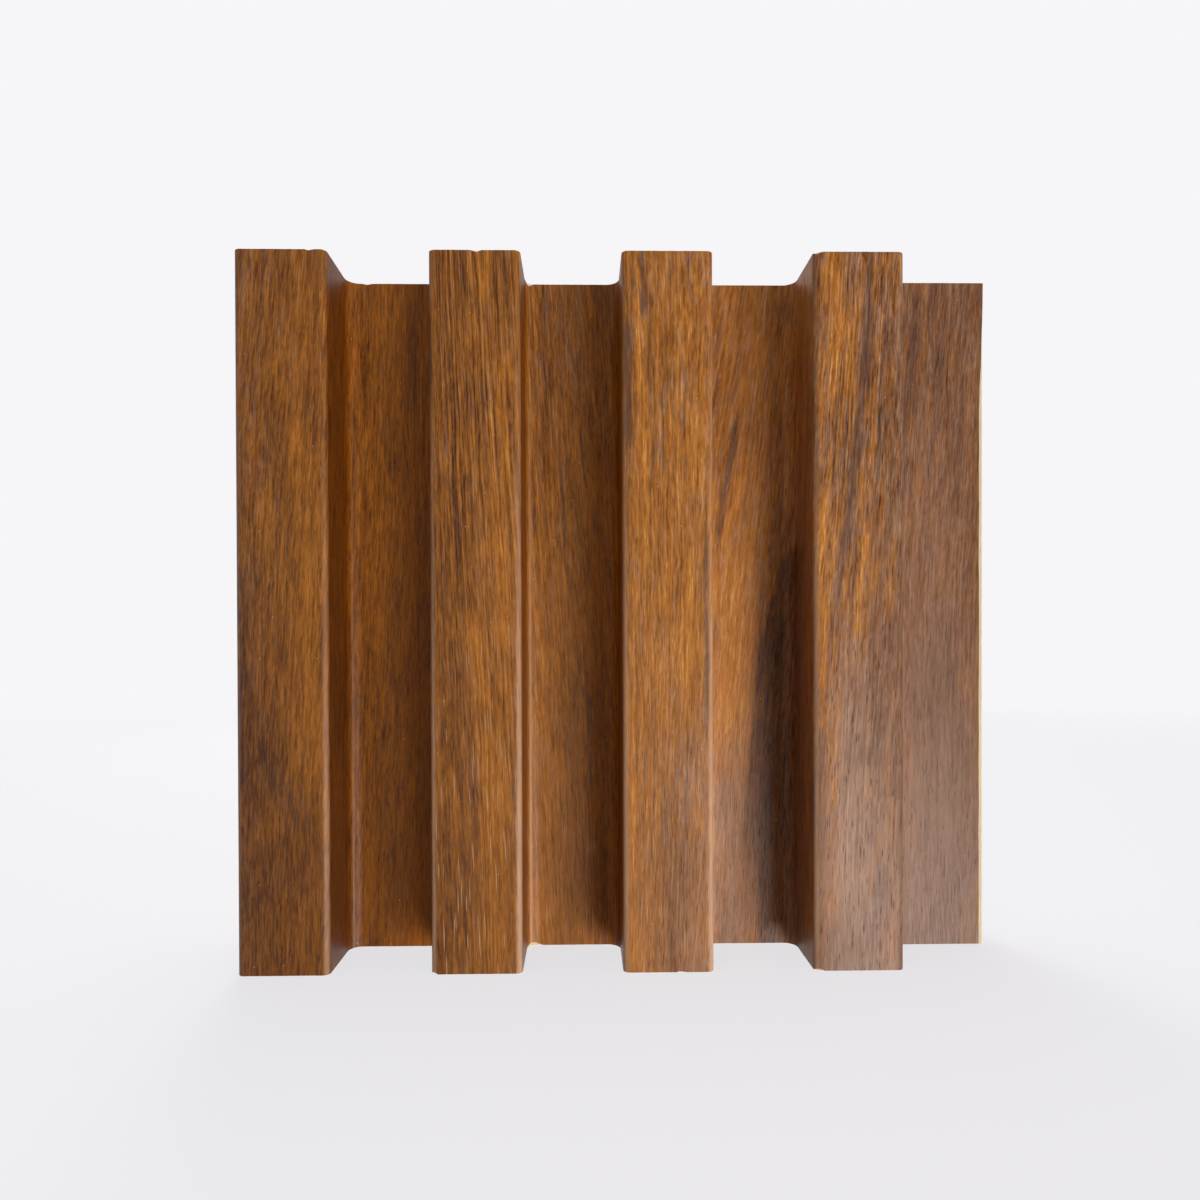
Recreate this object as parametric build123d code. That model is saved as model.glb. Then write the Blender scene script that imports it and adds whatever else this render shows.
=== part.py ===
from build123d import *
import os

os.makedirs("parts", exist_ok=True)

# Fluted wall panel: a hollow extruded profile, sawn square at both ends.
# X runs across the ribs, +Z up along them, and the ribs face -Y.
# The origin is the middle of the flat back, halfway up.

# Driving dimensions, in millimetres
panel_length = 150.0
panel_depth = 24.0
rib_count = 4
rib_pitch = 40.0
rib_width = 19.0
rib_height = 16.0
rib_edge_radius = 1.4
groove_foot_radius = 2.8

# Lap flange beside the last rib, and the rebate of the first rib that goes over it
flange_rise = 1.6
flange_edge_radius = 0.6
lap_width = 2.8
lap_clearance = 0.3

# Closed chamber inside each rib
chamber_side_wall = 4.0
chamber_front_wall = 4.0
chamber_back_wall = 4.0
chamber_corner_radius = 2.0

# Shallow dovetail keys for adhesive in the back, a row of them behind each groove
key_count = 2
key_spacing = 9.0
key_mouth_width = 3.0
key_floor_width = 3.8
key_depth = 0.8

# Corners closer than this in height count as level
same_height = 0.001

# Sizes that follow from these
cover_width = rib_count * rib_pitch
overall_width = cover_width + lap_width
groove_width = rib_pitch - rib_width
base_thickness = panel_depth - rib_height
flange_thickness = base_thickness + flange_rise
rebate_width = lap_width + lap_clearance
rebate_height = flange_thickness + lap_clearance
left_edge = -overall_width / 2
right_edge = overall_width / 2
rib_lefts = [left_edge + n * rib_pitch for n in range(rib_count)]
rib_rights = [x + rib_width for x in rib_lefts]


def strip(left, right, back, front):
    """Rectangle of the section, between two places across it and two heights above its back."""
    return Pos((left + right) / 2, -(back + front) / 2) * Rectangle(right - left, front - back)


def corners_at(outline, height):
    """Corners of the outline at one height above the back, from left to right."""
    lowest, highest = -height - same_height, -height + same_height
    return outline.vertices().filter_by_position(Axis.Y, lowest, highest).sort_by(Axis.X)


def outer_outline():
    """Base plate, ribs and flange as one outline, with rounded rib edges and groove feet."""
    outline = strip(left_edge, right_edge, 0, base_thickness)
    for rib_left, rib_right in zip(rib_lefts, rib_rights):
        outline += strip(rib_left, rib_right, 0, panel_depth)
    outline += strip(rib_rights[-1], right_edge, 0, flange_thickness)
    flange_foot = corners_at(outline, flange_thickness)[:1]
    outline = fillet(corners_at(outline, base_thickness) + flange_foot, groove_foot_radius)
    outline = fillet(corners_at(outline, flange_thickness)[-1:], flange_edge_radius)
    return fillet(corners_at(outline, panel_depth), rib_edge_radius)


def rib_chambers():
    """One rounded chamber in each rib; the first starts behind the rebate."""
    chambers = []
    for n, (rib_left, rib_right) in enumerate(zip(rib_lefts, rib_rights)):
        inset = rebate_width if n == 0 else 0
        chamber = strip(
            rib_left + inset + chamber_side_wall,
            rib_right - chamber_side_wall,
            chamber_back_wall,
            panel_depth - chamber_front_wall,
        )
        chambers.append(fillet(chamber.vertices(), chamber_corner_radius))
    return chambers


def lap_rebate():
    """Corner cut from the back of the first rib, with room for the neighbour's flange."""
    return strip(left_edge, left_edge + rebate_width, 0, rebate_height)


def adhesive_keys():
    """Dovetail grooves in the back, centred behind the grooves and the flange's groove."""
    key = make_face(
        Polyline(
            (-key_mouth_width / 2, 0),
            (key_mouth_width / 2, 0),
            (key_floor_width / 2, -key_depth),
            (-key_floor_width / 2, -key_depth),
            close=True,
        )
    )
    places = []
    for rib_right in rib_rights:
        row = GridLocations(key_spacing, 1, key_count, 1)
        places += [Pos(rib_right + groove_width / 2, 0) * place for place in row]
    return [place * key for place in places]


section = outer_outline() - rib_chambers() - lap_rebate() - adhesive_keys()
panel = Pos(0, 0, -panel_length / 2) * extrude(section, panel_length, dir=(0, 0, 1))

export_step(panel, "parts/fluted_panel.step")
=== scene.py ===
import math

import bpy
import numpy as np
from mathutils import Euler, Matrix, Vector
from mathutils.geometry import tessellate_polygon


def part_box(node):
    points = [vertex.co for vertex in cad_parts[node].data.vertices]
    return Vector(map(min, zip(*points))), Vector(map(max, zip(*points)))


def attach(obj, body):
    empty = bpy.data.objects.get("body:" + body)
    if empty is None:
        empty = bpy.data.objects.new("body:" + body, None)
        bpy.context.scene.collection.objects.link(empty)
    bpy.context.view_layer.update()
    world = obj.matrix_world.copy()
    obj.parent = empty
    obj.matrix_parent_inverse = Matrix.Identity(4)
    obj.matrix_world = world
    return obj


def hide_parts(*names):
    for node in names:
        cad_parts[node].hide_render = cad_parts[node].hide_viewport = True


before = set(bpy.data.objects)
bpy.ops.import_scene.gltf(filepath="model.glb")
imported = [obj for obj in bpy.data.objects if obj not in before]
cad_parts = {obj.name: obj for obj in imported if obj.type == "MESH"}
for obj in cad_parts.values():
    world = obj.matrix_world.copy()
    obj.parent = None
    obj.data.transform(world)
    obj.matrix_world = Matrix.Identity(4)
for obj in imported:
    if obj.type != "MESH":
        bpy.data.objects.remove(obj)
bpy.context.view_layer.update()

# Short length of fluted wall panel: a pale extruded core, and a printed wood-grain film over its front.
# Lengths are in millimetres in the CAD frame: X across the ribs, +Z up along them, ribs facing -Y.
MM = 0.001
PANEL = "fluted_panel"
BODY = "root"
seed = 7

# Outer box of the panel, from the frame
panel_low, panel_high = (Vector(corner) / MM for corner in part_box(PANEL))
left_edge = panel_low.x
bottom_end, top_end = panel_low.z, panel_high.z
panel_depth = panel_high.y - panel_low.y

# Section of the profile, as in the CAD
rib_count = 4
rib_pitch = 40.0
rib_width = 19.0
rib_height = 16.0
rib_edge_radius = 1.4
groove_foot_radius = 2.8
flange_rise = 1.6
flange_edge_radius = 0.6
lap_width = 2.8
lap_clearance = 0.3
chamber_side_wall = 4.0
chamber_front_wall = 4.0
chamber_back_wall = 4.0
chamber_corner_radius = 2.0
key_count = 2
key_spacing = 9.0
key_mouth_width = 3.0
key_floor_width = 3.8
key_depth = 0.8

# Sizes that follow from these
groove_width = rib_pitch - rib_width
flange_thickness = panel_depth - rib_height + flange_rise
rebate_width = lap_width + lap_clearance
rebate_height = flange_thickness + lap_clearance
rib_lefts = [left_edge + n * rib_pitch for n in range(rib_count)]

# The film and the mesh that shows it; the end rows are distances from each sawn end
film_thickness = 0.22
film_bond_gap = 0.01
column_spacing = 0.75
row_spacing = 2.5
turn_steps = 8
end_rows = (0.0, 0.12, 0.3, 0.6, 1.0, 1.6, 2.6, 4.0)
cap_ring_width = 0.25
film_sharp_angle = 50
core_sharp_angle = 35

# Small waves of the film: height, how far they bend, and the lengths of a radian of each across and along
wave_height = 0.03
wave_bend = 0.7
wave_lengths = ((9.0, 34.0), (5.0, 18.0), (14.0, 11.0), (3.5, 9.0))
wave_seed = 3

# The film stops short of the flange's right edge, less so near the top, along a slightly rough line
film_trim = 1.5
trim_starts_at = 84.0
trim_full_at = 46.0
trim_reach = 6.0
trim_roughness = 0.05
trim_points = 41

# Chips along the sawn ends: face, place across it, end, half width, depth in the film, depth in the core
chips = [
    ("rib_2", 10.0, "top", 0.9, 0.55, 0.12),
    ("rib_1", 15.6, "top", 0.7, 0.30, 0.28),
    ("groove_1", 4.3, "top", 0.9, 0.35, 0.15),
    ("groove_2", 0.6, "top", 1.2, 0.80, 0.75),
    ("rib_4", 0.7, "top", 0.9, 0.45, 0.40),
    ("rib_2", 0.5, "bottom", 0.9, 0.50, 0.45),
    ("rib_4", 0.9, "bottom", 1.1, 0.45, 0.40),
    ("rib_3", 12.0, "bottom", 0.8, 0.22, 0.18),
    ("groove_2", 0.9, "bottom", 2.4, 0.80, 0.75),
]

# Fraying between chips, how far in the film is drawn back behind a chip, how steep a chip's sides are
frayed_edge = 0.03
chip_reach = 4.0
chip_steepness = 1.4

# Painted highlights along the bends of the film, pale lines on the rounded edges and feet: how strongly on
# each rib's left edge, right edge and right foot, and how far to either side of these three
painted_highlight_bends = [(0.0, 0.55, 0.5), (0.8, 1.0, 1.0), (1.0, 1.0, 0.8), (0.9, 0.0, 0.0)]
painted_highlight_half_widths = (0.85, 0.85, 0.55)

# Painted shade inside each groove, as a darker and deeper red tint, strongest on the walls and the shadowed
# right part of the floor: left part of its floor, right part, walls
deep_print = {
    "groove_1": (0.60, 0.80, 1.0),
    "groove_2": (0.10, 0.75, 1.0),
    "groove_3": (0.00, 0.20, 0.2),
    "flange": (0.00, 0.00, 0.2),
}

# Places across a groove, from the rib edge before it to the rib edge after it, and which of the three values
# applies there
groove_shade_places = (-15.4, -13.4, -1.6, 2.6, 8.0, 15.0, 19.0, 23.0, 34.4, 36.4)
groove_shade_parts = (None, 2, 2, 0, 0, 1, 1, 2, 2, None)

# Grain of the print on each face: its lean in mm across for each mm up, at three heights, and then the values
# that are named here: share of long lines, how light, grey and streaked it is, painted glints, contrast
lean_heights = (60.0, 0.0, -60.0)
lean_points = 61
face_values = ("long_lines", "ground_light", "ground_grey", "streaks", "flecks", "contrast")
print_faces = {
    "rib_1": (0.06, 0.05, 0.03, 0.15, 0.43, 0.12, 0.30, 0.15, 0.95),
    "groove_1": (0.02, 0.04, 0.03, 0.15, 0.43, 0.02, 0.20, 0.10, 0.90),
    "rib_2": (-0.05, -0.06, -0.03, 0.78, 0.485, 0.16, 0.20, 1.00, 0.98),
    "groove_2": (-0.05, -0.06, -0.03, 0.25, 0.50, 0.22, 0.25, 0.35, 0.85),
    "rib_3": (-0.02, 0.01, 0.03, 0.34, 0.655, 0.24, 0.45, 0.60, 1.00),
    "groove_3": (0.16, 0.10, 0.05, 0.25, 0.71, 0.30, 0.30, 0.25, 0.75),
    "rib_4": (0.06, 0.07, 0.03, 0.38, 0.595, 0.55, 0.95, 0.20, 1.02),
    "flange": (0.08, 0.04, 0.01, 0.25, 0.475, 0.78, 0.45, 0.15, 0.68),
}

# Strokes keep their strength over the first of these shares of their half length, and fade over the second
stroke_full = 0.75
stroke_fade = 0.4

# Soft dark strokes of the figure: face, place across and height at both ends, half width, strength
# A pair of half widths is for the left and the right side of the stroke
dark_strokes = [
    ("rib_1", (3.6, 74), (4.4, 62), 0.9, 0.4),
    ("rib_1", (15.6, 75), (16.6, 64), 1.0, 0.35),
    ("rib_1", (8.2, 25), (12.6, 5), 0.9, 0.5),
    ("rib_1", (5.8, 24), (9.6, 10), 0.8, 0.3),
    ("rib_1", (0.8, 6), (3.2, -16), 2.4, 0.35),
    ("rib_1", (2.4, -16), (18.2, -55), 4.5, 0.30),
    ("rib_1", (7.0, -32), (14.0, -44), 2.6, 0.25),
    ("groove_1", (14.6, 70), (14.0, 45), 1.6, 0.5),
    ("groove_1", (12.3, 36), (12.0, 20), 0.8, 0.4),
    ("rib_2", (3.0, 72), (4.8, 46), 0.7, 0.40),
    ("rib_2", (6.6, 72), (12.6, -10), 0.9, 0.32),
    ("rib_2", (2.4, 54), (6.2, 12), 0.7, 0.30),
    ("rib_2", (14.6, 72), (17.6, 24), 0.6, 0.30),
    ("rib_2", (11.4, 66), (14.6, 30), 0.5, 0.30),
    ("rib_2", (8.6, 30), (10.4, 2), 0.6, 0.32),
    ("rib_2", (2.0, 0), (3.2, -72), 1.6, 0.25),
    ("rib_2", (7.4, -8), (7.0, -80), 2.6, 0.35),
    ("rib_2", (17.0, -30), (17.4, -52), 0.9, 0.45),
    ("rib_2", (9.4, -30), (9.8, -48), 1.2, 0.38),
    ("groove_2", (7.5, 36), (9.9, 4), 0.8, 0.55),
    ("groove_2", (13.5, -14), (14.6, -40), 0.9, 0.55),
    ("groove_2", (13.0, 73), (13.3, 64), 0.7, 0.40),
    ("rib_3", (1.8, 78), (2.2, 66), 0.6, 0.70),
    ("rib_3", (4.2, 78), (4.4, 62), 0.7, 0.90),
    ("rib_3", (1.0, 62), (1.4, 36), 1.0, 0.85),
    ("rib_3", (1.2, 42), (1.5, 22), 0.7, 0.45),
    ("rib_3", (5.6, 68), (6.2, 34), 0.5, 0.60),
    ("rib_3", (6.3, 34), (5.7, 14), 0.6, 0.60),
    ("rib_3", (8.4, 66), (9.2, 40), 0.7, 0.30),
    ("rib_3", (17.4, 20), (17.7, -26), 0.7, 0.75),
    ("rib_3", (8.0, -40), (8.1, -58), 0.5, 0.40),
    ("rib_3", (11.0, -30), (10.6, -72), 3.0, 0.25),
    ("groove_3", (7.8, 44), (3.4, 17), 1.0, 0.75),
    ("groove_3", (4.0, 74), (2.6, 45), 1.6, 0.4),
    ("rib_4", (12.0, 80), (11.2, 46), 1.0, 0.75),
    ("rib_4", (10.4, 62), (9.6, 30), 0.8, 0.70),
    ("rib_4", (9.2, 40), (6.6, 12), 1.2, 0.60),
    ("rib_4", (7.2, 20), (3.6, -4), 1.0, 0.50),
    ("rib_4", (15.6, 66), (14.8, 44), 0.7, 0.50),
    ("rib_4", (14.2, 44), (13.4, 26), 1.0, 0.60),
    ("rib_4", (17.2, 48), (16.4, 20), 0.7, 0.50),
    ("rib_4", (15.8, 22), (13.6, 0), 1.0, 0.50),
    ("rib_4", (9.6, -42), (9.0, -56), 1.4, 0.45),
    ("rib_4", (13.4, -18), (12.8, -34), 1.2, 0.4),
    ("flange", (15.6, 73), (11.4, 30), 0.8, 0.5),
    ("flange", (8.8, 74), (5.2, 38), 1.0, 0.6),
    ("flange", (20.4, 70), (16.6, 22), 0.7, 0.45),
    ("flange", (17.0, -10), (16.0, -44), 1.4, 0.4),
]

# Golden strokes, written the same way
gold_strokes = [
    ("rib_1", (8.6, 55), (8.8, 46), 1.4, 0.5),
    ("rib_1", (13.0, 42), (16.6, -30), 3.2, 0.65),
    ("rib_1", (7.0, -58), (8.0, -72), 4.0, 0.35),
    ("groove_1", (7.0, 40), (6.6, -30), 3.5, 0.45),
    ("rib_2", (15.6, 52), (16.0, 26), 1.6, 0.6),
    ("rib_2", (14.8, 18), (15.4, -8), 2.0, 0.6),
    ("rib_2", (9.4, -2), (10.2, -18), 1.6, 0.6),
    ("rib_2", (13.0, -20), (14.0, -74), 3.2, 0.55),
    ("rib_3", (3.8, 58), (4.9, 12), 1.0, 1.0),
    ("rib_3", (14.6, 44), (14.2, 26), 1.2, 0.6),
    ("rib_3", (13.8, 10), (13.4, -22), 1.4, 0.7),
    ("rib_3", (2.0, -30), (1.8, -74), 1.4, 0.6),
    ("rib_3", (9.0, 30), (9.0, -30), 6.5, 0.30),
    ("groove_3", (9.6, 36), (5.0, 16), 1.6, 0.6),
    ("groove_3", (9.0, 14), (6.0, -26), 3.4, 0.55),
    ("rib_4", (4.4, 74), (4.0, 44), 2.6, 0.7),
    ("rib_4", (8.0, 60), (7.6, 46), 0.9, 0.8),
    ("rib_4", (1.8, 24), (1.6, -16), 1.3, 1.0),
    ("rib_4", (11.4, 18), (8.6, -6), 1.1, 0.7),
    ("rib_4", (5.6, -12), (4.6, -40), 1.4, 0.45),
    ("rib_4", (3.6, -34), (3.2, -84), 2.0, 0.30),
]

# Painted shade and light, written the same way: smooth darker zones, among them a painted cast shadow across
# the third groove and darker shadowed parts of the grooves, and partly darker zones of the print; a negative
# strength paints a lighter one
painted_shade_strokes = [
    ("rib_1", (0.0, 4), (3.0, -40), (4.0, 4.5), 0.36),
    ("rib_1", (4.0, -20), (16.0, -60), 5.0, 0.18),
    ("rib_1", (4.0, -48), (6.0, -90), 10.0, 0.33),
    ("groove_1", (5.0, -10), (5.0, -95), 12.0, 0.15),
    ("groove_3", (8.0, 84), (6.0, 34), 9.0, 0.28),
    ("groove_3", (18.8, 14), (13.4, -10), (0.7, 8.0), 0.85),
    ("groove_3", (13.0, -8), (9.8, -50), (0.8, 9.0), 0.75),
    ("groove_3", (10.6, -50), (10.6, -92), (2.4, 6.0), 0.35),
    ("groove_3", (14.2, 24), (13.8, -16), (1.8, 8.0), 0.25),
    ("groove_3", (13.8, -8), (13.4, -92), (1.2, 9.0), 0.95),
    ("groove_3", (27.0, 90), (27.0, -90), 6.0, 0.26),
    ("groove_3", (5.5, 14), (2.5, -56), 5.0, -0.20),
    ("groove_2", (2.5, 12), (2.5, -80), 4.5, -0.22),
    ("groove_2", (17.0, -16), (17.0, -90), 4.0, 0.18),
    ("groove_1", (15.5, 40), (15.5, -80), 4.0, -0.18),
    ("groove_1", (8.0, 95), (8.0, 45), 10.0, -0.09),
    ("groove_2", (9.0, 95), (9.0, 32), 12.0, 0.09),
    ("rib_2", (3.0, 90), (4.0, -90), 5.0, 0.18),
    ("rib_2", (13.0, 30), (13.0, -40), 6.0, -0.13),
    ("rib_3", (9.0, 95), (9.0, 45), 12.0, 0.11),
    ("rib_3", (10.5, -48), (10.5, -90), 4.0, 0.29),
    ("rib_4", (6.5, -8), (7.0, -58), 4.5, -0.29),
    ("rib_4", (9.5, -40), (9.5, -95), 9.0, -0.10),
    ("flange", (7.5, 30), (8.0, -70), 8.0, -0.25),
    ("rib_4", (1.2, -14), (1.2, -95), 2.6, 0.28),
    ("rib_4", (18.9, 60), (18.9, -110), 0.9, 0.25),
]

# Places where the ground turns greyer, written the same way: partly a greyer print, partly painted sheen at
# the lower right, at the tops of the grooves and along rib 4's right bend, and a painted greyer shade on the
# third groove's wall
grey_and_sheen_strokes = [
    ("rib_1", (0.0, 95), (0.0, -95), 7.0, 0.30),
    ("rib_3", (13.5, -26), (13.0, -100), 6.0, 0.30),
    ("groove_3", (5.0, -36), (5.0, -100), 6.0, 0.45),
    ("groove_3", (24.0, 20), (24.0, -100), 6.0, 0.60),
    ("rib_4", (11.0, -20), (9.5, -95), 10.0, 0.26),
    ("rib_4", (7.4, -18), (8.4, -95), 2.2, 0.45),
    ("rib_4", (18.8, 60), (18.8, -110), 1.2, 0.50),
    ("flange", (12.0, -20), (11.0, -95), 12.0, 0.14),
    ("flange", (14.2, -6), (14.6, -80), 2.4, 0.40),
    ("groove_1", (8.0, 95), (8.0, 45), 10.0, 0.12),
    ("groove_2", (10.0, 95), (10.0, 40), 12.0, 0.14),
]
figures = {
    "dark_figure": dark_strokes,
    "gold_figure": gold_strokes,
    "shade_figure": painted_shade_strokes,
    "grey_figure": grey_and_sheen_strokes,
}

# Layers of the print that are noise stretched along the grain: width and length of their marks, a number that
# sets them apart, levels of detail, roughness
noise_layers = {
    "grit": (0.20, 0.9, 65.0, 2.0, 0.6),
    "fibre": (0.30, 6.0, 1.0, 2.0, 0.6),
    "band": (1.2, 16.0, 9.0, 2.0, 0.6),
    "patch": (5.0, 26.0, 13.0, 2.0, 0.5),
    "line": (0.5, 60.0, 17.0, 2.0, 0.65),
    "growth": (2.6, 32.0, 57.0, 2.0, 0.5),
    "hue": (1.4, 13.0, 21.0, 3.0, 0.65),
    "gap": (0.5, 4.0, 27.0, 1.0, 0.5),
    "tear": (0.45, 5.0, 33.0, 3.0, 0.65),
    "streak": (0.5, 9.0, 45.0, 2.0, 0.6),
}

# How far apart the layers lie in the noise, its middle value, the levels between which three layers rise,
# and how many growth lines a full rise makes
layer_spacing = 17.3
middle_value = 0.5
fibre_levels = (0.34, 0.66)
gap_levels = (0.46, 0.56)
streak_levels = (0.50, 0.60)
growth_lines = 8.0

# The grain's own sway, written like a noise layer, and how far it goes
sway_layer = (4.0, 22.0, 2.5, 1.0, 0.5)
sway_width = 1.0

# Short dashes of the print: width, length, number, lean
dash_layers = {
    "dash": (0.42, 3.6, 61.0, 0.03),
    "short_dash": (0.27, 1.5, 63.0, -0.05),
}

# Pores: width, length and number of the noise that they follow, and how wide they are in it; its detail and
# roughness, and the share of a pore's width that is full
pore_veins = ((0.9, 9.0, 25.0, 0.09), (1.5, 14.0, 29.0, 0.06))
vein_noise = (1.0, 0.5)
vein_core = 0.3

# Straight short lines, dark nicks and painted glints, which are pale and only in the lower zone: width,
# length, number, share of the places that have one; where a line's edge starts and is full, from the middle
# of its place
nick_ticks = ((0.42, 3.0, 71.0, 0.20), (0.50, 6.0, 73.0, 0.14))
painted_glint_ticks = ((0.30, 11.0, 37.0, 0.15), (0.28, 6.0, 39.0, 0.09))
tick_edge = (0.36, 0.18)

# Marks that strokes and bends give, with torn edges: their field, how far the edge is torn, where it fades
torn_marks = {
    "dark": ("dark_figure", 1.3, (0.15, 0.95)),
    "gold": ("gold_figure", -1.2, (0.15, 0.95)),
    "rubbed": ("rubbed", 0.5, (0.05, 1.00)),
}

# Zones: the lower one starts at this share of the top's height, and in it the print grows calmer from the
# first of these greys of the ground to the second
lower_zone_top = 0.7
calm_greys = (0.40, 0.55)

# How marks change with a zone or with how streaked a face is: change from none to full, and the start at none
pore_by_streaks = (0.7, 0.3)
pore_by_calm = (-0.8, 1.0)
nick_by_streaks = (0.9, 0.1)
streak_by_low = (-0.5, 1.0)
line_by_low = (-1.0, 2.0)
contrast_by_lower = (-0.4, 1.1)
contrast_by_calm = (-0.5, 1.0)
tint_by_lower = (-0.35, 1.0)
# Painted highlights on the bends grow stronger towards the bottom
painted_highlight_by_low = (0.48, 0.03)
nick_weight_by_lower = (-0.24, -0.22)

# How far each mark moves the print's tone and its grey; ripple and tint grow with the face's contrast
ripple_weights = {"fibre": 0.17, "dash": 0.11, "short_dash": 0.13, "grit": 0.15, "band": 0.55, "patch": 0.34}
growth_weight = -0.16
tone_weights = {"gold": 0.15, "dark": -0.12, "streak": -0.11, "pore": -0.16, "shade": -0.45, "zone": 0.25}
tint_weights = {"hue": 2.1, "dash_hue": 0.24, "short_dash_hue": 0.28}
grey_weights = {"zone": -1.4, "dark": 0.45, "pore": -0.40, "gold": -0.45}

# Print colours, from the deepest pores to the lightest fibres: golden wood, and the grey-brown of its figure
golden_stops = [
    (0.00, (44, 24, 10)),
    (0.20, (88, 48, 16)),
    (0.42, (132, 79, 25)),
    (0.60, (160, 98, 36)),
    (0.80, (188, 120, 50)),
    (1.00, (216, 153, 82)),
]
greyed_stops = [
    (0.00, (42, 27, 20)),
    (0.20, (82, 51, 34)),
    (0.42, (116, 79, 57)),
    (0.60, (140, 104, 82)),
    (0.80, (170, 129, 102)),
    (1.00, (200, 160, 130)),
]

# Tints of the painted groove shade, from none to the walls'
painted_groove_shade_tints = [
    (0.0, (255, 255, 255)),
    (0.5, (255, 250, 212)),
    (0.8, (252, 232, 150)),
    (1.0, (196, 172, 122)),
]

# Colours laid over the print, and how far three of them cover it
figure_colour = (84, 57, 41)
figure_share = 0.62
painted_glint_colour = (206, 168, 134)
painted_glint_share = 0.75
painted_highlight_colour = (226, 184, 152)
dust_colour = (232, 212, 180)
dust_share = 0.6

# Specks of dust: spacing across and along, number of their layer, how large they are, how many there are
dust_cells = (9.0, 9.0, 51.0)
dust_edge = (0.015, 0.007)
dust_levels = (0.60, 0.80)

# The film's skin: roughness and what fibres and pores add to it, relief of both, gloss
film_roughness = 0.44
fibre_roughness = 0.12
pore_roughness = 0.10
fibre_relief = 0.5
pore_relief = -1.0
film_gloss = 0.18

# Relief of each surface: strength and height
film_bump = (0.3, 0.04)
core_bump = (0.35, 0.1)

# Raw core: size of its marks across, through and along the panel, levels of detail, roughness
core_layers = {
    "mottle": ((6.0, 6.0, 20.0), 3.0, 0.6),
    "flour": ((0.35, 0.35, 1.6), 2.0, 0.6),
    "drawn": ((0.7, 0.7, 90.0), 2.0, 0.6),
    "saw": ((0.4, 14.0, 14.0), 1.0, 0.5),
}

# Colours and skin of the core, and what drawing lines and fibres of wood flour change
core_stops = [(0.25, (205, 178, 136)), (0.75, (229, 206, 164))]
drawn_weight = 0.7
flour_levels = (0.60, 0.72)
flour_colour = (158, 122, 78)
flour_share = 0.45
flour_relief = -0.6
core_roughness = 0.62
mottle_roughness = 0.15
core_gloss = 0.3

# Camera, from the photograph's edges and ends
camera_place = (-9.48, -192.05, -6.39)
camera_right_turn = 0.92
camera_down_tilt = 0.41
camera_roll = -0.17
camera_lens = 24.28
camera_sensor = 36.0
camera_shift = (0.0027, 0.0412)
camera_near = 5.0

# Light: a wide soft key low on the right and its smaller highlight, a weak fill from above, a lamp behind,
# one overhead, two rims that only show as highlights along the edges, and a weak ambient
# Each lamp: place, size, power in watts, whether it lights matte surfaces, whether it shows in glossy ones
lamps = {
    "key": ((440.0, -620.0, -410.0), 560.0, 7.7, True, False),
    "key_highlight": ((320.0, -620.0, -300.0), 220.0, 4.4, False, True),
    "fill": ((-60.0, -220.0, 300.0), 200.0, 0.14, True, False),
    "back": ((-160.0, 620.0, 420.0), 400.0, 3.0, True, False),
    "overhead": ((0.0, 120.0, 700.0), 500.0, 3.0, True, False),
    "left_rim": ((-680.0, -200.0, -60.0), 450.0, 1.2, False, True),
    "right_rim": ((640.0, -380.0, -200.0), 400.0, 0.8, False, True),
}
ambient_light = (1.0, 0.98, 0.95, 1.0)
ambient_strength = 0.29
background_colour = (246, 245, 248)

# Floor: its own colour, how much of the background's light it adds, and the distances from its middle where
# it starts to fade, is gone and ends
floor_colour = (118, 117, 120)
floor_glow = 0.76
floor_clear_radius = 200.0
floor_fade_radius = 900.0
floor_radius = 990.0
floor_sides = 96


# Section geometry


def walk(start, moves, spacing):
    """Follows straight runs and quarter turns, heading for -Y first.

    A move is (name, length), or (None, radius, side) with side +1 round a rib edge and -1 into a groove.
    Returns the points, the outward normals, the distance walked to each, where each named run starts,
    and the distance and side of each turn's middle.
    """
    place, angle, walked = np.array(start, float), -math.pi / 2, 0.0
    points, normals, runs, starts, turns = [], [], [], {}, []

    def note():
        points.append(place.copy())
        normals.append((math.sin(angle), -math.cos(angle)))
        runs.append(walked)

    note()
    for move in moves:
        if move[0]:
            starts[move[0]] = walked
            steps = max(1, math.ceil(move[1] / spacing))
            for _ in range(steps):
                place = place + move[1] / steps * np.array((math.cos(angle), math.sin(angle)))
                walked += move[1] / steps
                note()
        else:
            radius, side = move[1:]
            turns.append((walked + radius * math.pi / 4, side))
            centre = place + side * radius * np.array((-math.sin(angle), math.cos(angle)))
            for _ in range(turn_steps):
                angle += side * math.pi / 2 / turn_steps
                place = centre + side * radius * np.array((math.sin(angle), -math.cos(angle)))
                walked += radius * math.pi / 2 / turn_steps
                note()
    return np.array(points), np.array(normals), np.array(runs), starts, turns


def front_moves():
    """Runs and turns of the front, from the rebate's lip over the ribs to the flange's edge."""
    edge, foot = (None, rib_edge_radius, 1), (None, groove_foot_radius, -1)
    wall = rib_height - rib_edge_radius - groove_foot_radius
    moves = [("lip", panel_depth - rebate_height - rib_edge_radius), edge]
    for n in range(1, rib_count + 1):
        moves += [(f"rib_{n}", rib_width - 2 * rib_edge_radius), edge]
        if n < rib_count:
            floor = groove_width - 2 * groove_foot_radius
            moves += [(f"right_wall_{n}", wall), foot, (f"groove_{n}", floor), foot]
            moves += [(f"left_wall_{n + 1}", wall), edge]
    reach = groove_width + lap_width - groove_foot_radius - flange_edge_radius
    moves += [(f"right_wall_{rib_count}", wall - flange_rise), foot, ("flange", reach)]
    return moves + [(None, flange_edge_radius, 1)]


front, front_normals, front_runs, run_starts, front_turns = walk(
    (left_edge, -rebate_height), front_moves(), column_spacing
)


def place_on(face, across):
    """Distance along the film of a place on a face, measured across it from its left corner."""
    inset = rib_edge_radius if face.startswith("rib") else groove_foot_radius
    return run_starts[face] + across - inset


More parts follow.
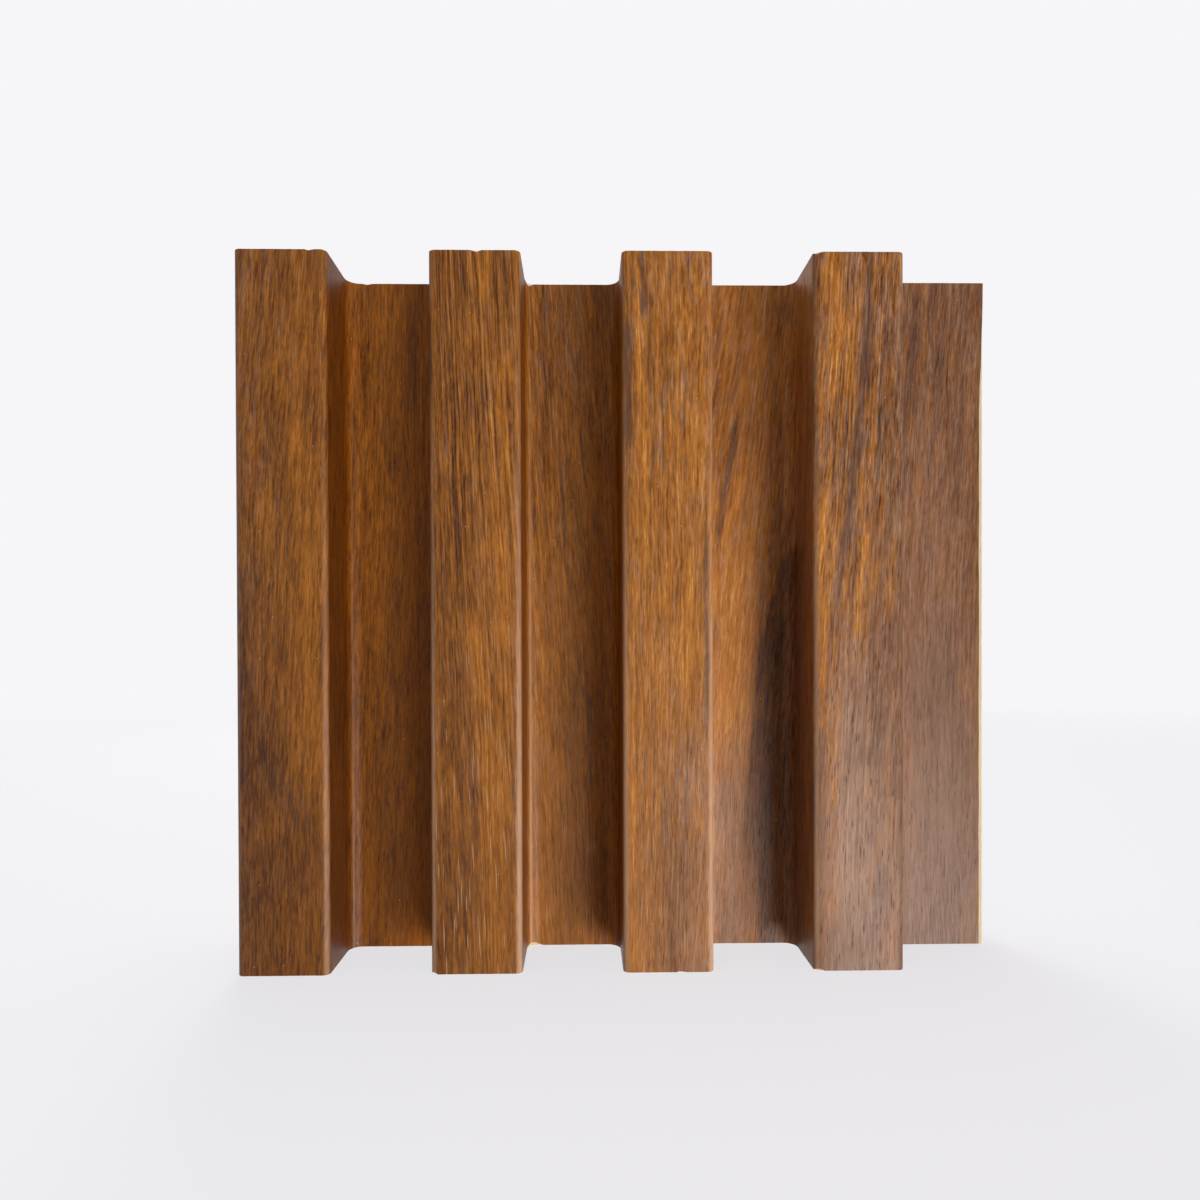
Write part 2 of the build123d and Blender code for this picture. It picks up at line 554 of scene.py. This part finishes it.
def back_outline():
    """The rest of the section: right side, back with its dovetail keys, and the rebate's two faces."""
    outline = [(front[-1][0] - film_thickness - film_bond_gap, 0.0)]
    for rib_left in reversed(rib_lefts):
        middle = rib_left + rib_width + groove_width / 2
        for n in reversed(range(key_count)):
            centre = middle + (n - (key_count - 1) / 2) * key_spacing
            outline.append((centre + key_mouth_width / 2, 0.0))
            outline.append((centre + key_floor_width / 2, -key_depth))
            outline.append((centre - key_floor_width / 2, -key_depth))
            outline.append((centre - key_mouth_width / 2, 0.0))
    outline.append((left_edge + rebate_width, 0.0))
    outline.append((left_edge + rebate_width, -rebate_height))
    return np.array(outline)


def chamber_outline(n):
    """Rounded chamber of one rib; the first starts behind the rebate."""
    low_x = rib_lefts[n] + chamber_side_wall + (rebate_width if n == 0 else 0.0)
    high_x = rib_lefts[n] + rib_width - chamber_side_wall
    low_y, high_y = chamber_front_wall - panel_depth, -chamber_back_wall
    r = chamber_corner_radius
    left, right, front_side, back_side = low_x + r, high_x - r, low_y + r, high_y - r
    corners = [(right, back_side), (left, back_side), (left, front_side), (right, front_side)]
    outline = []
    for quarter, (x, y) in enumerate(corners):
        for step in range(turn_steps + 1):
            angle = (quarter + step / turn_steps) * math.pi / 2
            outline.append((x + r * math.cos(angle), y + r * math.sin(angle)))
    return np.array(outline)


def chip_depths(end, layer):
    """How far each column of the front is broken back from a sawn end, in the film (0) or the core (1)."""
    rng = np.random.default_rng(seed + (end == "top"))
    depths = frayed_edge * rng.random(len(front_runs)) * (layer == 0)
    for face, across, chip_end, half_width, *chip_layers in chips:
        if chip_end == end:
            apart = np.abs(front_runs - place_on(face, across)) / half_width
            share = np.clip(chip_steepness * (1 - apart), 0, 1)
            depths = np.maximum(depths, chip_layers[layer] * share)
    return depths


# Meshes


def new_piece(name, vertices, faces, sharp_angle):
    """Smooth-shaded mesh object on the panel's body, from vertices in millimetres."""
    mesh = bpy.data.meshes.new(name)
    mesh.from_pydata([tuple(v) for v in np.asarray(vertices) * MM], [], faces)
    mesh.validate()
    mesh.shade_smooth()
    mesh.set_sharp_from_angle(angle=math.radians(sharp_angle))
    piece = bpy.data.objects.new(name, mesh)
    bpy.context.collection.objects.link(piece)
    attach(piece, BODY)
    return piece


def film_heights():
    """Heights of the film's rows, closer together near the sawn ends."""
    inner = end_rows[-1]
    span = top_end - bottom_end - 2 * inner
    steps = round(span / row_spacing)
    middle = bottom_end + inner + span * np.arange(1, steps) / steps
    near = np.array(end_rows)
    return np.concatenate([bottom_end + near, middle, (top_end - near)[::-1]])


def broken_heights(rows):
    """Heights of the film's vertices, row by column, with the rows near each end drawn back at chips."""
    heights = np.repeat(rows[:, None], len(front_runs), axis=1)
    for end, level, inward in (("bottom", bottom_end, 1), ("top", top_end, -1)):
        depth = chip_depths(end, 0)[None, :]
        away = inward * (heights - level)
        drawn = depth + away * (1 - depth / chip_reach)
        heights = np.where(away < chip_reach, level + inward * drawn, heights)
    return heights


def trimmed_front(rows):
    """Where each film vertex lies in the section, with the last stretch drawn back where it is trimmed."""
    end = front_runs[-1]
    amount = film_trim * np.clip((trim_starts_at - rows) / (trim_starts_at - trim_full_at), 0, 1)
    points = np.linspace(bottom_end, top_end, trim_points)
    rough = np.random.default_rng(seed).normal(0, trim_roughness, trim_points)
    rough = np.interp(rows, points, rough)
    amount = np.clip(amount + rough * (amount > 0), 0, None)[:, None]
    last = np.clip((front_runs - (end - trim_reach)) / trim_reach, 0, None)[None, :]
    return front_runs[None, :] - amount * last


def soft_waves(runs, heights):
    """Small unevenness of the film, which makes its highlights waver."""
    rng = np.random.default_rng(seed + wave_seed)
    waves = np.zeros_like(heights)
    for length_across, length_along in wave_lengths:
        phase = rng.random(2) * 2 * math.pi
        bend = wave_bend * np.sin(heights / length_along + phase[1])
        waves += np.sin(runs / length_across + phase[0] + bend)
    return wave_height * (waves / len(wave_lengths) - 0.5)


def stroke_cover(runs, heights, face, start, end, half_width):
    """How much one soft stroke covers each point: full along its line, fading to its sides and ends."""
    share = np.clip((heights - start[1]) / (end[1] - start[1]), 0, 1)
    line = place_on(face, start[0] + share * (end[0] - start[0]))
    middle, reach = (start[1] + end[1]) / 2, abs(end[1] - start[1]) / 2
    beyond = np.clip(np.abs(heights - middle) - stroke_full * reach, 0, None) / (stroke_fade * reach)
    left, right = half_width if isinstance(half_width, tuple) else (half_width, half_width)
    aside = (runs - line) / np.where(runs < line, left, right)
    return np.exp(-(aside**2) - beyond**2)


def figure_field(runs, heights, strokes):
    """How much the strokes of one list cover each film vertex together."""
    clear = np.ones_like(heights)
    for face, start, end, half_width, strength in strokes:
        clear *= 1 - strength * stroke_cover(runs, heights, face, start, end, half_width)
    return 1 - clear


def painted_highlight_field(runs):
    """How strong the painted highlight is at each vertex, along the film's bends."""
    edges = [middle for middle, side in front_turns if side == 1]
    feet = [middle for middle, side in front_turns if side == -1]
    bends = np.transpose([edges[0:-1:2], edges[1::2], feet[0::2]])
    widths = painted_highlight_half_widths * rib_count
    rubbed = np.zeros_like(runs)
    for middle, strength, half_width in zip(bends.ravel(), np.ravel(painted_highlight_bends), widths):
        rubbed = np.maximum(rubbed, strength * np.exp(-(((runs - middle) / half_width) ** 2)))
    return rubbed


def painted_groove_shade_field(runs):
    """How strong the painted groove shade is at each film vertex."""
    groove_shade = np.zeros_like(runs)
    for face, shares in deep_print.items():
        depths = [0.0 if part is None else shares[part] for part in groove_shade_parts]
        places = [place_on(face, across) for across in groove_shade_places]
        groove_shade = np.maximum(groove_shade, np.interp(runs, places, depths))
    return groove_shade


def grain_shift(heights, leans):
    """How far across the grain has leaned at each film vertex, counted from half the panel's height."""
    levels = np.linspace(bottom_end, top_end, lean_points)
    rows = heights.mean(axis=1)
    shift = np.zeros_like(heights)
    for column in range(len(front_runs)):
        lean = np.interp(levels, lean_heights[::-1], leans[::-1, column])
        drift = np.concatenate([[0], np.cumsum((lean[1:] + lean[:-1]) / 2 * np.diff(levels))])
        shift[:, column] = np.interp(rows, levels, drift - np.interp(0.0, levels, drift))
    return shift


def grain_fields(runs, heights):
    """Values of the print at each film vertex, from the faces' table and the strokes of the figure, painted
    shade, sheen and highlights among them.
    """
    widths = [rib_width if face.startswith("rib") else groove_width for face in print_faces]
    middles = [place_on(face, width / 2) for face, width in zip(print_faces, widths)]
    facts = np.array(list(print_faces.values()))
    lean_count = len(lean_heights)
    leans = np.array([np.interp(front_runs, middles, facts[:, k]) for k in range(lean_count)])
    fields = {"grain_run": runs - grain_shift(heights, leans), "grain_height": heights}
    for k, name in enumerate(face_values, lean_count):
        fields[name] = np.interp(runs, middles, facts[:, k])
    fields["rubbed"] = painted_highlight_field(runs)
    fields["deep_print"] = painted_groove_shade_field(runs)
    for name, strokes in figures.items():
        fields[name] = figure_field(runs, heights, strokes)
    return fields


def skin_faces(outer, inner):
    """Faces of a thin closed skin, from the vertex numbers of its two sides: sides, sawn ends, long edges."""
    rows, columns = outer.shape
    faces = []
    for i in range(rows - 1):
        for j in range(columns - 1):
            faces.append((outer[i, j], outer[i, j + 1], outer[i + 1, j + 1], outer[i + 1, j]))
            faces.append((inner[i, j], inner[i + 1, j], inner[i + 1, j + 1], inner[i, j + 1]))
    for j in range(columns - 1):
        faces.append((outer[0, j], inner[0, j], inner[0, j + 1], outer[0, j + 1]))
        faces.append((outer[-1, j], outer[-1, j + 1], inner[-1, j + 1], inner[-1, j]))
    for i in range(rows - 1):
        faces.append((outer[i, 0], outer[i + 1, 0], inner[i + 1, 0], inner[i, 0]))
        faces.append((outer[i, -1], inner[i, -1], inner[i + 1, -1], outer[i + 1, -1]))
    return [tuple(int(v) for v in face) for face in faces]


def make_film():
    """The printed film: a thin closed skin over the ribs, grooves and flange."""
    rows = film_heights()
    heights = broken_heights(rows)
    runs = trimmed_front(rows)
    section = [np.interp(runs, front_runs, front[:, k]) for k in range(2)]
    normal = [np.interp(runs, front_runs, front_normals[:, k]) for k in range(2)]
    lift = np.clip(soft_waves(runs, heights), -2 * wave_height, 0)
    sides = []
    for depth in (lift, np.full_like(lift, -film_thickness)):
        x, y = (section[k] + normal[k] * depth for k in range(2))
        sides.append(np.stack([x, y, heights], -1).reshape(-1, 3))
    outer, inner = np.arange(2 * heights.size).reshape(2, *heights.shape)
    piece = new_piece("wood_film", np.concatenate(sides), skin_faces(outer, inner), film_sharp_angle)
    for name, values in grain_fields(runs, heights).items():
        attribute = piece.data.attributes.new(name, "FLOAT", "POINT")
        attribute.data.foreach_set("value", np.tile(values.ravel(), 2).astype(np.float32))
    return piece


def make_core():
    """The extruded core: chambers, rebate and keyed back, with broken edges at the sawn ends."""
    inset = film_thickness + film_bond_gap
    edge = front - inset * front_normals
    ring = front - (inset + cap_ring_width) * front_normals
    back = back_outline()
    holes = [chamber_outline(n) for n in range(rib_count)]
    vertices, faces = [], []

    def add(points, heights):
        first = len(vertices)
        vertices.extend((x, y, z) for (x, y), z in zip(points, heights))
        return list(range(first, len(vertices)))

    loops = {}
    for end, level, inward in (("bottom", bottom_end, 1), ("top", top_end, -1)):
        edge_ids = add(edge, level + inward * chip_depths(end, 1))
        ring_ids = add(ring, np.full(len(ring), level))
        back_ids = add(back, np.full(len(back), level))
        hole_ids = [add(hole, np.full(len(hole), level)) for hole in holes]
        outer_ids, cap_ids = edge_ids + back_ids, ring_ids + back_ids
        loops[end] = outer_ids, hole_ids
        around = list(zip(outer_ids, outer_ids[1:] + outer_ids[:1], cap_ids[1:] + cap_ids[:1], cap_ids))
        cap = [cap_ids, *hole_ids]
        flat_ids = [v for ids in cap for v in ids]
        patches = tessellate_polygon([[Vector(vertices[v]) for v in ids] for ids in cap])
        flat_faces = [tuple(flat_ids[k] for k in patch) for patch in patches]
        for quad in around:
            corners = tuple(dict.fromkeys(quad))
            if len(corners) > 2:
                faces.append(corners if end == "top" else corners[::-1])
        for patch in flat_faces:
            a, b, c = (Vector(vertices[v]) for v in patch)
            upward = (b - a).cross(c - a).z > 0
            faces.append(patch if upward == (end == "top") else patch[::-1])
    for low, high, turned in [
        (loops["bottom"][0], loops["top"][0], False),
        *((low, high, True) for low, high in zip(loops["bottom"][1], loops["top"][1])),
    ]:
        for a, b, c, d in zip(low, low[1:] + low[:1], high[1:] + high[:1], high):
            faces.append((a, b, c, d)[:: -1 if turned else 1])
    return new_piece("panel_core", vertices, faces, core_sharp_angle)


# Materials

# Sockets of a mix node that are for colours: share, first and second colour, result
colour_mix_inputs = (0, 6, 7)
colour_mix_output = 2


def linear(colour):
    """Linear RGBA of a colour given in 0 to 255 sRGB."""
    shares = [c / 255 for c in colour]
    return (*(s / 12.92 if s <= 0.04045 else ((s + 0.055) / 1.055) ** 2.4 for s in shares), 1.0)


class Tree:
    """Short calls for building one node tree."""

    def __init__(self, owner):
        owner.use_nodes = True
        self.nodes, self.links = owner.node_tree.nodes, owner.node_tree.links
        self.nodes.clear()

    def put(self, socket, value):
        if isinstance(value, bpy.types.NodeSocket):
            self.links.new(value, socket)
        else:
            socket.default_value = value

    def node(self, kind, inputs=(), **settings):
        made = self.nodes.new(kind)
        for name, value in settings.items():
            setattr(made, name, value)
        for name, value in dict(inputs).items():
            self.put(made.inputs[name], value)
        return made

    def math(self, operation, *values):
        made = self.nodes.new("ShaderNodeMath")
        made.operation = operation
        for socket, value in zip(made.inputs, values):
            self.put(socket, value)
        return made.outputs[0]

    def attribute(self, name):
        return self.node("ShaderNodeAttribute", attribute_name=name).outputs["Fac"]

    def noise(self, vector, detail, roughness):
        inputs = {"Vector": vector, "Scale": 1.0, "Detail": detail, "Roughness": roughness}
        return self.node("ShaderNodeTexNoise", inputs).outputs["Fac"]

    def step(self, value, low, high):
        inputs = {"Value": value, "From Min": low, "From Max": high}
        return self.node("ShaderNodeMapRange", inputs, interpolation_type="SMOOTHSTEP").outputs["Result"]

    def ramp(self, value, stops):
        made = self.node("ShaderNodeValToRGB", {"Fac": value})
        elements = made.color_ramp.elements
        while len(elements) < len(stops):
            elements.new(0.5)
        for element, (place, colour) in zip(elements, stops):
            element.position, element.color = place, linear(colour)
        return made.outputs["Color"]

    def mix(self, share, first, second, blend="MIX"):
        made = self.node("ShaderNodeMix", data_type="RGBA", blend_type=blend)
        for number, value in zip(colour_mix_inputs, (share, first, second)):
            self.put(made.inputs[number], value)
        return made.outputs[colour_mix_output]

    def finish(self, shader, kind="ShaderNodeOutputMaterial"):
        self.links.new(shader, self.node(kind).inputs["Surface"])

    def surface(self, colour, roughness, gloss, relief, strength, height):
        """Ends the tree in a plain surface with a fine relief, whose height is in millimetres."""
        bump = self.node("ShaderNodeBump", {"Strength": strength, "Distance": height * MM, "Height": relief})
        inputs = {"Base Color": colour, "Roughness": roughness, "Specular IOR Level": gloss}
        shader = self.node("ShaderNodeBsdfPrincipled", inputs)
        self.put(shader.inputs["Normal"], bump.outputs["Normal"])
        self.finish(shader.outputs[0])


class PrintTree(Tree):
    """Node tree of the film's print, whose layers follow the grain."""

    def __init__(self, owner):
        super().__init__(owner)
        self.height = self.attribute("grain_height")
        self.straight = self.attribute("grain_run")
        sway = self.layer(self.straight, *sway_layer)
        self.run = self.weighed(sway, sway_width, self.straight)

    def weighed(self, value, weight, base):
        """A base that is raised or lowered as a value lies above or below its middle."""
        return self.math("MULTIPLY_ADD", self.math("SUBTRACT", value, middle_value), weight, base)

    def faded(self, value, zone, change, start):
        """A value times a share that has a start and changes with a zone."""
        return self.math("MULTIPLY", value, self.math("MULTIPLY_ADD", zone, change, start))

    def added(self, base, marks, weights):
        """A base with each of some marks added by its weight."""
        for name, weight in weights.items():
            base = self.math("MULTIPLY_ADD", marks[name], weight, base)
        return base

    def grain(self, run, across, along, number):
        """Places in a layer whose marks have this width and length; its number sets it apart from others."""
        x = self.math("MULTIPLY_ADD", run, 1 / across, layer_spacing * number)
        inputs = {"X": x, "Y": self.math("MULTIPLY", self.height, 1 / along), "Z": number}
        return self.node("ShaderNodeCombineXYZ", inputs).outputs[0]

    def layer(self, run, across, along, number, detail, roughness):
        """Noise that is stretched along the grain."""
        return self.noise(self.grain(run, across, along, number), detail, roughness)

    def veins(self, across, along, number, width):
        """Thin lines along the grain, where a stretched noise passes its middle value."""
        noise = self.layer(self.run, across, along, number, *vein_noise)
        level = self.math("ABSOLUTE", self.math("SUBTRACT", noise, middle_value))
        return self.step(level, width, vein_core * width)

    def cells(self, run, across, along, number):
        """Stretched cells, one for each mark of a layer."""
        inputs = {"Vector": self.grain(run, across, along, number), "Scale": 1.0, "Randomness": 1.0}
        return self.node("ShaderNodeTexVoronoi", inputs, voronoi_dimensions="2D").outputs

    def draws(self, cells):
        """Three random values for each cell."""
        return self.node("ShaderNodeSeparateColor", {"Color": cells["Color"]}).outputs

    def ticks(self, across, along, number, share):
        """Straight short lines, one in each of a share of the cells."""
        cells = self.cells(self.straight, across, along, number)
        chosen = self.step(self.draws(cells)["Red"], 1 - share, 1.0)
        return self.math("MULTIPLY", self.step(cells["Distance"], *tick_edge), chosen)

    def dashes(self, across, along, number, lean):
        """Random values, three for each short dash of a layer that leans a little."""
        leaning = self.math("MULTIPLY_ADD", self.height, lean, self.run)
        return self.draws(self.cells(leaning, across, along, number))


def print_marks(tree):
    """The marks of the print by name, and the zones of the panel that change them."""
    marks = {name: tree.layer(tree.run, *facts) for name, facts in noise_layers.items()}
    for name, facts in dash_layers.items():
        draws = tree.dashes(*facts)
        marks[name], marks[name + "_hue"] = draws["Red"], draws["Green"]
    marks["fibre"] = tree.step(marks["fibre"], *fibre_levels)
    marks["growth"] = tree.math("FRACT", tree.math("MULTIPLY", marks["growth"], growth_lines))
    streaks = tree.attribute("streaks")

    low = tree.step(tree.height, top_end, bottom_end)
    lower = tree.step(tree.height, lower_zone_top * top_end, bottom_end)
    calm = tree.math("MULTIPLY", lower, tree.step(tree.attribute("ground_grey"), *calm_greys))
    marks["low"], marks["lower"], marks["calm"] = low, lower, calm
    marks["zone"] = tree.math("MULTIPLY", tree.math("SUBTRACT", marks["patch"], middle_value), calm)

    pore = tree.math("MAXIMUM", *(tree.veins(*facts) for facts in pore_veins))
    pore = tree.math("MULTIPLY", pore, tree.step(marks["gap"], *gap_levels))
    pore = tree.faded(pore, streaks, *pore_by_streaks)
    marks["pore"] = tree.faded(pore, calm, *pore_by_calm)
    nick = tree.math("MAXIMUM", *(tree.ticks(*facts) for facts in nick_ticks))
    marks["nick"] = tree.faded(nick, streaks, *nick_by_streaks)
    marks["fleck"] = tree.math("MAXIMUM", *(tree.ticks(*facts) for facts in painted_glint_ticks))
    streak = tree.math("MULTIPLY", tree.step(marks["streak"], *streak_levels), streaks)
    marks["streak"] = tree.faded(streak, low, *streak_by_low)

    for name, (field, weight, edge) in torn_marks.items():
        marks[name] = tree.step(tree.weighed(marks["tear"], weight, tree.attribute(field)), *edge)
    # Painted shade and light zones, partly darker zones of the print
    marks["shade"] = tree.attribute("shade_figure")
    contrast = tree.faded(tree.attribute("contrast"), lower, *contrast_by_lower)
    marks["contrast"] = tree.faded(contrast, calm, *contrast_by_calm)
    return marks


def print_tone(tree, marks):
    """How light the print is, from 0 to 1: the face's ground, its fine ripple, and the marks on it, painted
    shade among them.
    """
    ripple = 0.0
    for name, weight in ripple_weights.items():
        ripple = tree.weighed(marks[name], weight, ripple)
    tone = tree.math("MULTIPLY_ADD", ripple, marks["contrast"], tree.attribute("ground_light"))
    rings = tree.math("MULTIPLY", tree.math("SUBTRACT", marks["growth"], middle_value), growth_weight)
    tone = tree.math("MULTIPLY_ADD", rings, tree.attribute("streaks"), tone)
    lines = tree.faded(tree.math("SUBTRACT", marks["line"], middle_value), marks["low"], *line_by_low)
    tone = tree.math("MULTIPLY_ADD", lines, tree.attribute("long_lines"), tone)
    tone = tree.added(tone, marks, tone_weights)
    nick_weight = tree.math("MULTIPLY_ADD", marks["lower"], *nick_weight_by_lower)
    return tree.math("MULTIPLY_ADD", marks["nick"], nick_weight, tone)


def print_grey(tree, marks):
    """How grey the print is, from 0 to 1, painted sheen included."""
    tint = 0.0
    for name, weight in tint_weights.items():
        tint = tree.weighed(marks[name], weight, tint)
    tint = tree.faded(tint, marks["lower"], *tint_by_lower)
    grey = tree.math("MULTIPLY_ADD", tint, marks["contrast"], tree.attribute("ground_grey"))
    # Greyer zones, partly print and partly painted sheen
    grey = tree.math("ADD", grey, tree.attribute("grey_figure"))
    return tree.step(tree.added(grey, marks, grey_weights), 0.0, 1.0)


def print_colour(tree, marks):
    """Colour of the print: wood by tone and grey, then figure, grooves' red, flecks, wear and dust."""
    tone = print_tone(tree, marks)
    golden, greyed = tree.ramp(tone, golden_stops), tree.ramp(tone, greyed_stops)
    colour = tree.mix(print_grey(tree, marks), golden, greyed)
    colour = tree.mix(tree.math("MULTIPLY", marks["dark"], figure_share), colour, linear(figure_colour))
    # Painted shade inside the grooves: a darker, redder tint
    colour = tree.mix(1.0, colour, tree.ramp(tree.attribute("deep_print"), painted_groove_shade_tints), "MULTIPLY")
    # Painted glints: pale ticks in the lower zone
    fleck = tree.math("MULTIPLY", marks["fleck"], marks["lower"])
    fleck = tree.math("MULTIPLY", fleck, tree.attribute("flecks"))
    colour = tree.mix(tree.math("MULTIPLY", fleck, painted_glint_share), colour, linear(painted_glint_colour))
    # Painted highlights along the bends, stronger towards the bottom
    rubbed = tree.faded(marks["rubbed"], marks["low"], *painted_highlight_by_low)
    colour = tree.mix(rubbed, colour, linear(painted_highlight_colour))
    specks = tree.cells(tree.straight, *dust_cells)
    dust = tree.step(specks["Distance"], *dust_edge)
    dust = tree.math("MULTIPLY", dust, tree.step(specks["Color"], *dust_levels))
    return tree.mix(tree.math("MULTIPLY", dust, dust_share), colour, linear(dust_colour))


def film_material():
    """Printed wood-grain film: pores, fibres and long lines that follow the grain, under a satin skin."""
    material = bpy.data.materials.new("wood_film")
    tree = PrintTree(material)
    marks = print_marks(tree)
    roughness = tree.weighed(marks["fibre"], fibre_roughness, film_roughness)
    roughness = tree.math("MULTIPLY_ADD", marks["pore"], pore_roughness, roughness)
    relief = tree.math("MULTIPLY", marks["fibre"], fibre_relief)
    relief = tree.math("MULTIPLY_ADD", marks["pore"], pore_relief, relief)
    tree.surface(print_colour(tree, marks), roughness, film_gloss, relief, *film_bump)
    return material


def core_material():
    """Raw pale wood-plastic: mottled, with drawing lines, fibres of wood flour and fine saw marks."""
    material = bpy.data.materials.new("panel_core")
    tree = Tree(material)
    place = tree.node("ShaderNodeTexCoord").outputs["Object"]
    marks = {}
    for name, (size, detail, roughness) in core_layers.items():
        scaled = tree.node("ShaderNodeVectorMath", {0: place}, operation="MULTIPLY")
        scaled.inputs[1].default_value = [1 / (length * MM) for length in size]
        marks[name] = tree.noise(scaled.outputs[0], detail, roughness)
    mottle, drawn = marks["mottle"], marks["drawn"]
    flour = tree.step(marks["flour"], *flour_levels)

    lines = tree.math("SUBTRACT", drawn, middle_value)
    tone = tree.math("MULTIPLY_ADD", lines, drawn_weight, mottle)
    colour = tree.ramp(tone, core_stops)
    colour = tree.mix(tree.math("MULTIPLY", flour, flour_share), colour, linear(flour_colour))
    relief = tree.math("ADD", marks["saw"], drawn)
    relief = tree.math("ADD", relief, tree.math("MULTIPLY", flour, flour_relief))
    roughness = tree.math("MULTIPLY_ADD", mottle, mottle_roughness, core_roughness)
    tree.surface(colour, roughness, core_gloss, relief, *core_bump)
    return material


# Stage, light and camera


def seen_directly(tree):
    """1 for camera, glossy and transmission rays, which all see the pale background."""
    path = tree.node("ShaderNodeLightPath").outputs
    seen = tree.math("MAXIMUM", path["Is Camera Ray"], path["Is Glossy Ray"])
    return tree.math("MAXIMUM", seen, path["Is Transmission Ray"])


def make_world():
    """Weak even ambient, with a pale background where it is seen."""
    world = bpy.data.worlds.new("studio")
    bpy.context.scene.world = world
    tree = Tree(world)
    ambient = tree.node("ShaderNodeBackground", {"Color": ambient_light, "Strength": ambient_strength})
    pale = tree.node("ShaderNodeBackground", {"Color": linear(background_colour), "Strength": 1.0})
    inputs = {0: seen_directly(tree), 1: ambient.outputs[0], 2: pale.outputs[0]}
    tree.finish(tree.node("ShaderNodeMixShader", inputs).outputs[0], "ShaderNodeOutputWorld")


def make_floor():
    """Pale floor that keeps the panel's soft shadow and fades into the background."""
    bpy.ops.mesh.primitive_circle_add(
        vertices=floor_sides, radius=floor_radius * MM, fill_type="NGON", location=(0, 0, bottom_end * MM)
    )
    floor = bpy.context.object
    floor.name = "floor"
    material = bpy.data.materials.new("floor")
    tree = Tree(material)
    place = tree.node("ShaderNodeTexCoord").outputs["Object"]
    distance = tree.node("ShaderNodeVectorMath", {0: place}, operation="LENGTH").outputs["Value"]
    fade = tree.step(distance, floor_clear_radius * MM, floor_fade_radius * MM)
    matte = tree.node("ShaderNodeBsdfDiffuse", {"Color": linear(floor_colour)})
    glow = tree.node("ShaderNodeEmission", {"Color": linear(background_colour)})
    tree.put(glow.inputs["Strength"], tree.math("MULTIPLY", seen_directly(tree), floor_glow))
    lit = tree.node("ShaderNodeAddShader", {0: matte.outputs[0], 1: glow.outputs[0]})
    clear = tree.node("ShaderNodeBsdfTransparent")
    inputs = {0: fade, 1: lit.outputs[0], 2: clear.outputs[0]}
    tree.finish(tree.node("ShaderNodeMixShader", inputs).outputs[0])
    floor.data.materials.append(material)
    floor.visible_shadow = False
    floor.visible_glossy = False


def make_lamp(name, place, size, power, lights_matte, shows_in_gloss):
    """Round soft lamp that faces the middle of the panel."""
    lamp = bpy.data.lights.new(name, "AREA")
    lamp.shape, lamp.size, lamp.energy = "DISK", size * MM, power
    holder = bpy.data.objects.new(name, lamp)
    holder.location = Vector(place) * MM
    holder.rotation_euler = (-holder.location).to_track_quat("-Z", "Y").to_euler()
    holder.visible_camera = False
    holder.visible_diffuse = lights_matte
    holder.visible_glossy = shows_in_gloss
    bpy.context.collection.objects.link(holder)


def make_camera():
    """Camera at the photograph's place: square to the ribs, a little to the left of the middle."""
    lens = bpy.data.cameras.new("camera")
    lens.lens, lens.sensor_width = camera_lens, camera_sensor
    lens.shift_x, lens.shift_y = camera_shift
    lens.clip_start = camera_near * MM
    camera = bpy.data.objects.new("camera", lens)
    camera.location = Vector(camera_place) * MM
    turned = Euler((math.radians(90 - camera_down_tilt), 0, -math.radians(camera_right_turn))).to_matrix()
    rolled = Euler((0, 0, math.radians(camera_roll))).to_matrix()
    camera.rotation_euler = (turned @ rolled).to_euler()
    bpy.context.collection.objects.link(camera)
    bpy.context.scene.camera = camera


film = make_film()
film.data.materials.append(film_material())
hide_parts(PANEL)

core = make_core()
core.data.materials.append(core_material())
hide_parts(PANEL)

make_floor()
make_world()
for lamp_name, facts in lamps.items():
    make_lamp(lamp_name, *facts)
make_camera()
bpy.context.scene.view_settings.view_transform = "Standard"
